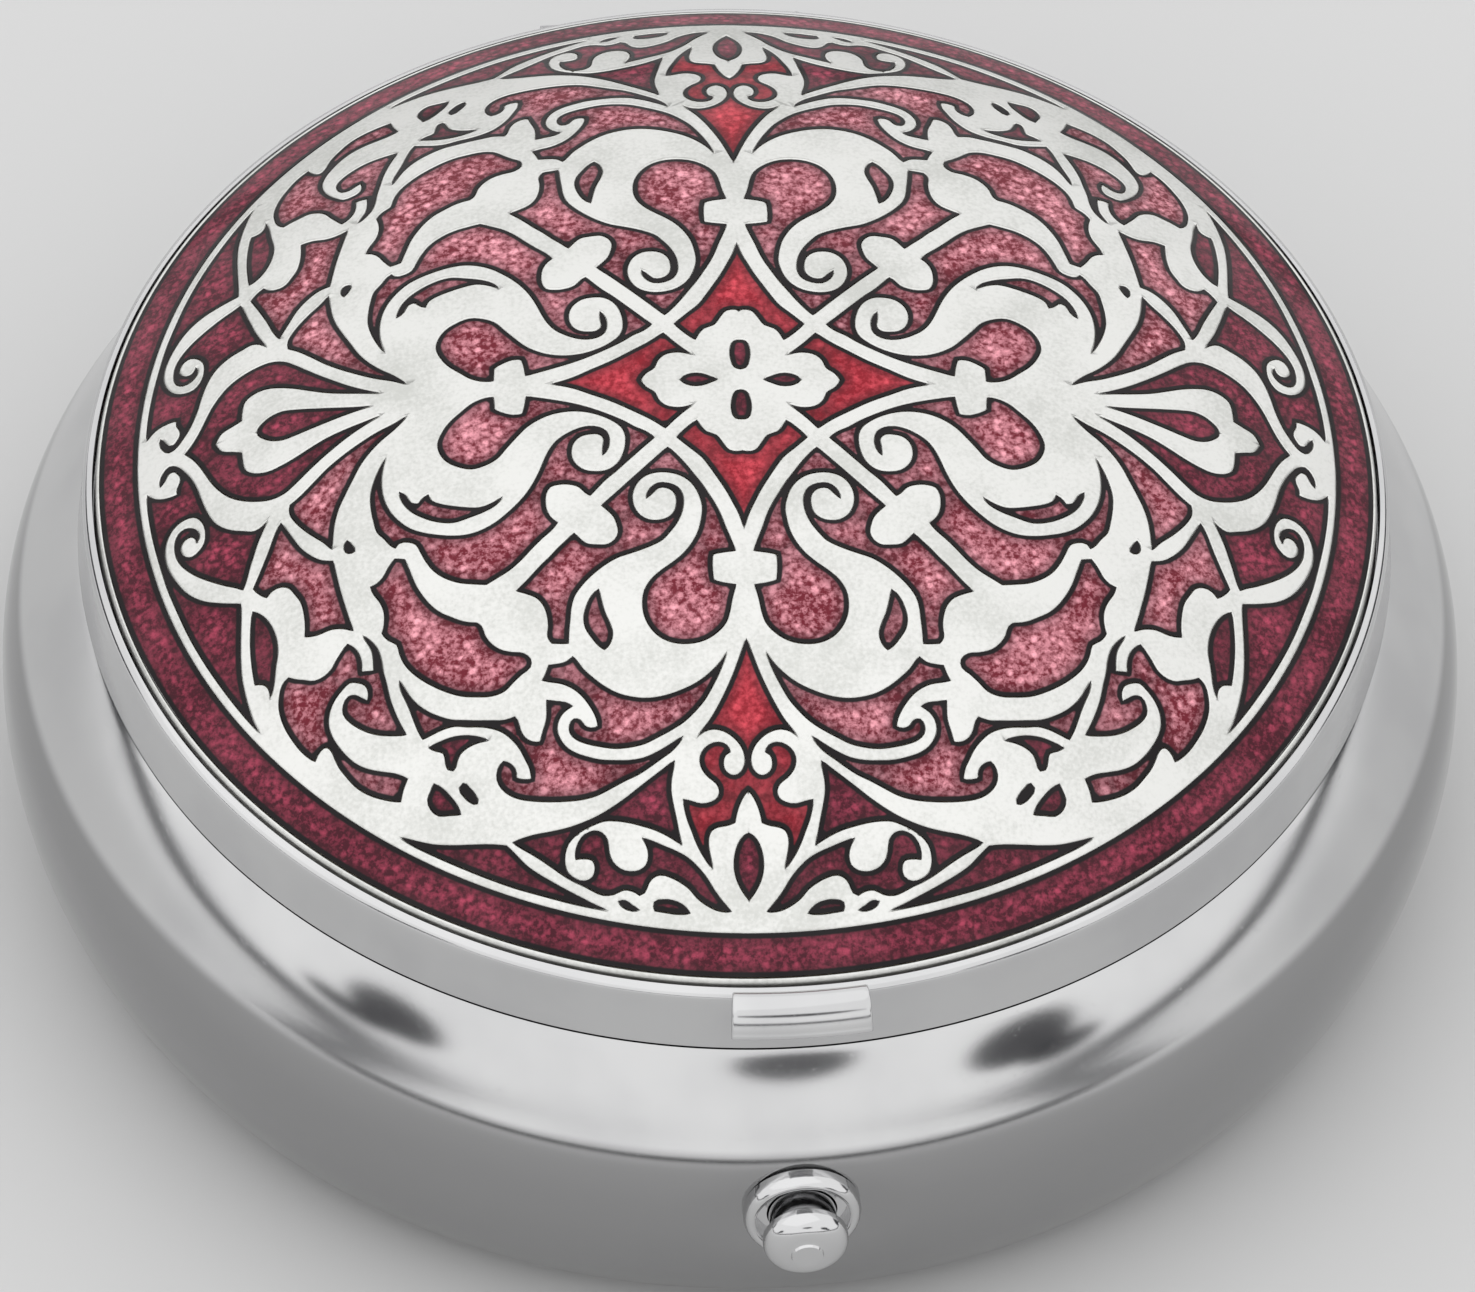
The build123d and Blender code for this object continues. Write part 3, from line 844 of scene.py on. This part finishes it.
def buildLidCase():
    notch = sections["hingeNotch"]
    over, under = sections["lidFloor"]
    ring = medallion["ringRadius"] * 1000
    radii = np.linspace(0, 21.9, 60)
    floor = [(r, domeHeight(r / ring) * 1000 - over) for r in radii]
    ceiling = [(r, domeHeight(r / ring) * 1000 - under) for r in radii[::-1] if r < 21.4]
    shaped = spinSection(floor + readSection(sections["lidSide"]) + ceiling, sections["turns"]["lid"])
    mesh = toMesh(shaped, "lidCase")
    mesh = cutAway(mesh, blockTool((-notch["half"], notch["half"]), notch["y"], (12, notch["lidTo"])))
    mesh.set_sharp_from_angle(angle=crease)
    piece = keepMesh("lidCase", mesh, "lid", "bright_plate")
    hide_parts("lid_shell")


def buildThumbTab():
    half = sections["tabHalf"]
    section, steps = readSection(sections["tab"]), sections["turns"]["tab"]
    shaped = spinSection(section, steps, "Z", -90 - half, 2 * half)
    caps = [edge for edge in shaped.edges if edge.calc_face_angle(0) > math.radians(80)]
    bmesh.ops.bevel(shaped, geom=caps, offset=0.00007, offset_type="OFFSET", affect="EDGES", segments=3,
                    profile=0.5, material=-1, clamp_overlap=True)
    piece = keepMesh("thumbLedge", toMesh(shaped, "thumbLedge"), "lid", "bright_plate")
    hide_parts("thumb_tab")


def buildButton():
    shaped = spinSection(readSection(sections["button"]), sections["turns"]["button"], "Y")
    bmesh.ops.translate(shaped, verts=shaped.verts[:], vec=(0, 0, sections["pad"]["height"] / 1000))
    piece = keepMesh("buttonKnob", toMesh(shaped, "buttonKnob"), "button", "bright_plate")
    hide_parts("push_button")


buildBaseCase()
buildLidCase()
buildThumbTab()
buildButton()
print("case, lid, tab and button done")


# floor, light and camera

studio = {
    "floorSize": 0.9, "keyPower": 0.7, "keySize": 1.2, "keyHeight": 0.7,
    "keyPlace": (-0.15, -0.1),
    "skyStrength": 1.17, "gapColour": (0.02, 0.02, 0.025, 1), "horizon": (0.015, 0.06),
    "gaps": [  # turn from the viewer's side, height, half width, all in degrees; how flat it is
        (11.5, 18.8, 8.5, 2.6), (-46, 9.5, 7.5, 1.8), (-53, 5.5, 7, 4), (44, 11, 8, 1.7), (49, 6, 6, 2.5),
        (118, 6, 18, 2), (-115, 6, 16, 2),
    ],
    "view": {"lens": 572.3, "sensor": 36.0, "far": 37.06, "lift": 49.57, "roll": -2.16,
             "shift": (0.011, -0.255), "plan": (-0.1253, -0.9921)},
}


def buildFloor():
    size = studio["floorSize"]
    shaped = bmesh.new()
    bmesh.ops.create_grid(shaped, x_segments=4, y_segments=4, size=size)
    mesh = bpy.data.meshes.new("floor")
    shaped.to_mesh(mesh)
    shaped.free()
    floor = bpy.data.objects.new("floor", mesh)
    bpy.context.scene.collection.objects.link(floor)
    material, wire = newMaterial("floorPaper")
    where = place(wire)
    # painted shadow: the floor is darker grey near the box, fading to pale between 5 and 22 cm from its
    # middle, a soft pool of shade that the case's chrome reflects as well
    shadowPoolFade = wire.node("VectorMath", {"operation": "LENGTH"}, {0: where}, 1).above(0.05, 0.22)
    shadowedPaper = grain(wire, where, 30.0).blend((0.6, 0.6, 0.6, 1), (0.58, 0.58, 0.58, 1))
    surface(wire, {"Base Color": shadowPoolFade.blend(shadowedPaper, (0.8, 0.8, 0.8, 1)), "Roughness": 0.9})
    mesh.materials.append(material)


def buildWorld():
    world = bpy.data.worlds.new("studio")
    bpy.context.scene.world = world
    world.use_nodes = True
    tree = world.node_tree
    tree.nodes.clear()
    wire = Wire(tree)
    where = wire.node("TexCoord", out=0)
    white = wire.node("SeparateXYZ", {}, {0: where}, 2).above(*studio["horizon"])
    front = math.atan2(studio["view"]["plan"][1], studio["view"]["plan"][0])
    for turn, height, width, flat in studio["gaps"]:
        around, up, half = front + math.radians(turn), math.radians(height), math.radians(width)
        aim = (-math.cos(around) * math.cos(up), -math.sin(around) * math.cos(up), -math.sin(up))
        away = wire.node("VectorMath", {"operation": "ADD"}, {0: where, 1: aim}).stretch(1, 1, flat)
        size = wire.node("VectorMath", {"operation": "LENGTH"}, {0: away}, 1)
        white = white * (1.0 - 0.95 * size.above(half * 1.2, half * 0.8))
    colour = white.blend(studio["gapColour"], (1.0, 1.0, 1.0, 1))
    shader = wire.node("Background", {}, {"Color": colour, "Strength": studio["skyStrength"]})
    output = tree.nodes.new("ShaderNodeOutputWorld")
    tree.links.new(shader.socket, output.inputs["Surface"])


def buildLights():
    light = bpy.data.lights.new("keyLight", "AREA")
    light.energy = studio["keyPower"]
    light.size = studio["keySize"]
    holder = bpy.data.objects.new("keyLight", light)
    holder.location = (*studio["keyPlace"], studio["keyHeight"])
    holder.rotation_euler = (Vector((0, 0, 0)) - holder.location).to_track_quat("-Z", "Y").to_euler()
    bpy.context.scene.collection.objects.link(holder)


def buildCamera():
    v = studio["view"]
    radius = medallion["ringRadius"]
    centre = Vector((0, 0, medallion["top"] - medallion["rise"]))
    lift, roll = math.radians(v["lift"]), math.radians(v["roll"])
    away = Vector((-v["plan"][0], -v["plan"][1], 0)).normalized()
    across = away.cross(Vector((0, 0, 1)))
    upward = away * math.sin(lift) + Vector((0, 0, math.cos(lift)))
    outward = -away * math.cos(lift) + Vector((0, 0, math.sin(lift)))
    spot = centre + (across * v["shift"][0] + upward * v["shift"][1] + outward * v["far"]) * radius
    right = across * math.cos(roll) - upward * math.sin(roll)
    top = across * math.sin(roll) + upward * math.cos(roll)
    lens = bpy.data.cameras.new("camera")
    lens.lens, lens.sensor_width = v["lens"], v["sensor"]
    lens.clip_start, lens.clip_end = 0.05, 5.0
    camera = bpy.data.objects.new("camera", lens)
    turn = Matrix((right, top, outward)).transposed().to_4x4()
    camera.matrix_world = Matrix.Translation(spot) @ turn
    bpy.context.scene.collection.objects.link(camera)
    bpy.context.scene.camera = camera


buildFloor()
buildWorld()
buildLights()
buildCamera()
bpy.context.scene.view_settings.view_transform = "Standard"
print("studio ready")
